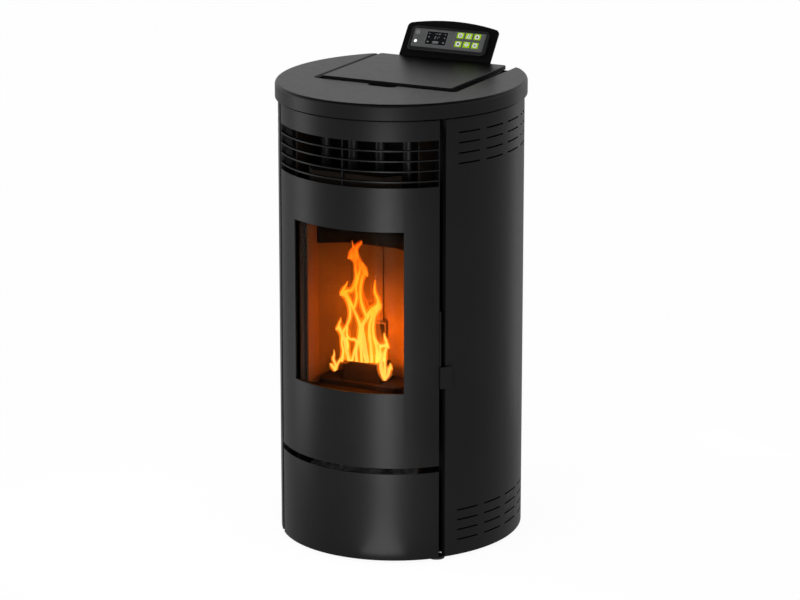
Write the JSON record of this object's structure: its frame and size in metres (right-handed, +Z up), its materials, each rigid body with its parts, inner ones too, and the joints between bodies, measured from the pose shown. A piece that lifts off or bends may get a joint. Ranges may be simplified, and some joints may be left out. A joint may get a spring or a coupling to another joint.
{
  "type": "pellet stove",
  "caption": "Free-standing pellet stove: curved glazed door, warm-air grille, hopper lid, ash drawer, keypad panel, rear flue spigot.",
  "frame": {"origin": "centre of the overall footprint, on the floor", "axes": "+Z up, the door faces -Y, the flue spigot points along +Y, +X is the side with the door handle"},
  "size_m": [0.512, 0.5359, 1.0388],
  "materials": {
    "black_sheet": "satin black powder coat",
    "black_casting": "dark casting",
    "firebox_steel": "matt heat paint",
    "zinc_sheet": "zinc plated",
    "tube_steel": "plain steel tube",
    "fire_board": "pressed mineral board",
    "door_glass": "clear heat-proof glass",
    "rope": "woven fibre",
    "seal_rubber": "soft seal",
    "black_plastic": "fine grain",
    "membrane": "printed film",
    "display": "gloss window",
    "lens": "gloss",
    "green_keys": "moulded",
    "motor_case": "cast",
    "fan_wheel": "sheet"
  },
  "bodies": {
    "stove": {"air_inlet_pipe": "tube_steel", "auger_motor": "motor_case", "auger_tube": "firebox_steel", "base_plate": "zinc_sheet", "burn_pot_tray": "black_casting", "control_board": "black_plastic", "control_housing": "black_plastic", "control_plate": "black_sheet", "display_module": "display", "door_hinge_brackets": "black_sheet", "drawer_runners": "zinc_sheet", "exhaust_fan_housing": "tube_steel", "exhaust_fan_motor": "motor_case", "firebox_baffle": "firebox_steel", "firebox_boards": "fire_board", "firebox_shell": "firebox_steel", "frame_posts": "black_sheet", "heat_exchanger_tubes": "firebox_steel", "hopper": "zinc_sheet", "hopper_grate": "tube_steel", "hopper_seal": "seal_rubber", "igniter": "tube_steel", "indicator_lenses": "lens", "keypad_bezel": "black_plastic", "keypad_membrane": "membrane", "lid_hinge_brackets": "zinc_sheet", "mains_inlet": "black_plastic", "rear_panel": "black_sheet", "rear_panel_screws": "tube_steel", "room_fan_housing": "zinc_sheet", "room_fan_motor": "motor_case", "side_panel_left": "black_sheet", "side_panel_right": "black_sheet", "smoke_duct": "firebox_steel", "top_plate": "black_sheet"},
    "door": {"door_panel": "black_sheet", "door_grille": "black_sheet", "door_inner_frame": "firebox_steel", "door_glass": "door_glass", "glass_gasket": "rope", "door_rope_seal": "rope"},
    "handle": {"door_handle": "black_sheet"},
    "lid": {"hopper_lid": "black_sheet"},
    "ash_drawer": {"ash_drawer_front": "black_sheet", "ash_drawer_box": "zinc_sheet"},
    "burn_pot": {"burn_pot": "black_casting"},
    "auger": {"auger_screw": "tube_steel"},
    "exhaust_fan": {"exhaust_impeller": "fan_wheel"},
    "room_fan": {"room_fan_rotor": "fan_wheel"},
    "switch_rocker": {"power_switch_rocker": "black_plastic"},
    "key_1": {"key_1": "green_keys"},
    "key_2": {"key_2": "green_keys"},
    "key_3": {"key_3": "green_keys"},
    "key_4": {"key_4": "green_keys"},
    "key_5": {"key_5": "green_keys"},
    "key_6": {"key_6": "green_keys"},
    "foot_front_left": {"levelling_foot_front_left": "black_plastic"},
    "foot_front_right": {"levelling_foot_front_right": "black_plastic"},
    "foot_rear_left": {"levelling_foot_rear_left": "black_plastic"},
    "foot_rear_right": {"levelling_foot_rear_right": "black_plastic"}
  },
  "joints": [
    {"name": "door_swing", "type": "hinge", "parent": "stove", "child": "door", "pos_m": [-0.16695, -0.17552, 0.565], "axis": [0, 0, -1], "range_deg": [0, 110]},
    {"name": "handle_pull", "type": "hinge", "parent": "door", "child": "handle", "pos_m": [0.17375, -0.16966, 0.495], "axis": [-0.6561, -0.7547, 0], "range_deg": [0, 20]},
    {"name": "lid_lift", "type": "hinge", "parent": "stove", "child": "lid", "pos_m": [0, 0.1975, 0.9624], "axis": [-1, 0, 0], "range_deg": [0, 90]},
    {"name": "ash_drawer_slide", "type": "slide", "parent": "stove", "child": "ash_drawer", "axis": [0, -1, 0], "range_m": [0, 0.2]},
    {"name": "burn_pot_lift", "type": "slide", "parent": "stove", "child": "burn_pot", "axis": [0, 0, 1], "range_m": [0, 0.1]},
    {"name": "auger_turn", "type": "hinge", "parent": "stove", "child": "auger", "pos_m": [0, 0.128, 0.345], "axis": [0, -0.7071, 0.7071], "continuous": true},
    {"name": "exhaust_fan_spin", "type": "hinge", "parent": "stove", "child": "exhaust_fan", "pos_m": [0.06, 0.098, 0.15], "axis": [1, 0, 0], "continuous": true},
    {"name": "room_fan_spin", "type": "hinge", "parent": "stove", "child": "room_fan", "pos_m": [-0.116, 0.118, 0.084], "axis": [1, 0, 0], "continuous": true},
    {"name": "power_switch_tilt", "type": "hinge", "parent": "stove", "child": "switch_rocker", "pos_m": [-0.117, 0.207, 0.205], "axis": [1, 0, 0], "range_deg": [0, 16]},
    {"name": "key_1_press", "type": "slide", "parent": "stove", "child": "key_1", "axis": [0, 0.7965, -0.6046], "range_m": [0, 0.0005], "stiffness_N_per_m": 800},
    {"name": "key_2_press", "type": "slide", "parent": "stove", "child": "key_2", "axis": [0, 0.7965, -0.6046], "range_m": [0, 0.0005], "stiffness_N_per_m": 800},
    {"name": "key_3_press", "type": "slide", "parent": "stove", "child": "key_3", "axis": [0, 0.7965, -0.6046], "range_m": [0, 0.0005], "stiffness_N_per_m": 800},
    {"name": "key_4_press", "type": "slide", "parent": "stove", "child": "key_4", "axis": [0, 0.7965, -0.6046], "range_m": [0, 0.0005], "stiffness_N_per_m": 800},
    {"name": "key_5_press", "type": "slide", "parent": "stove", "child": "key_5", "axis": [0, 0.7965, -0.6046], "range_m": [0, 0.0005], "stiffness_N_per_m": 800},
    {"name": "key_6_press", "type": "slide", "parent": "stove", "child": "key_6", "axis": [0, 0.7965, -0.6046], "range_m": [0, 0.0005], "stiffness_N_per_m": 800},
    {"name": "foot_front_left_screw", "type": "slide", "parent": "stove", "child": "foot_front_left", "axis": [0, 0, -1], "range_m": [0, 0.012]},
    {"name": "foot_front_right_screw", "type": "slide", "parent": "stove", "child": "foot_front_right", "axis": [0, 0, -1], "range_m": [0, 0.012]},
    {"name": "foot_rear_left_screw", "type": "slide", "parent": "stove", "child": "foot_rear_left", "axis": [0, 0, -1], "range_m": [0, 0.012]},
    {"name": "foot_rear_right_screw", "type": "slide", "parent": "stove", "child": "foot_rear_right", "axis": [0, 0, -1], "range_m": [0, 0.012]}
  ]
}
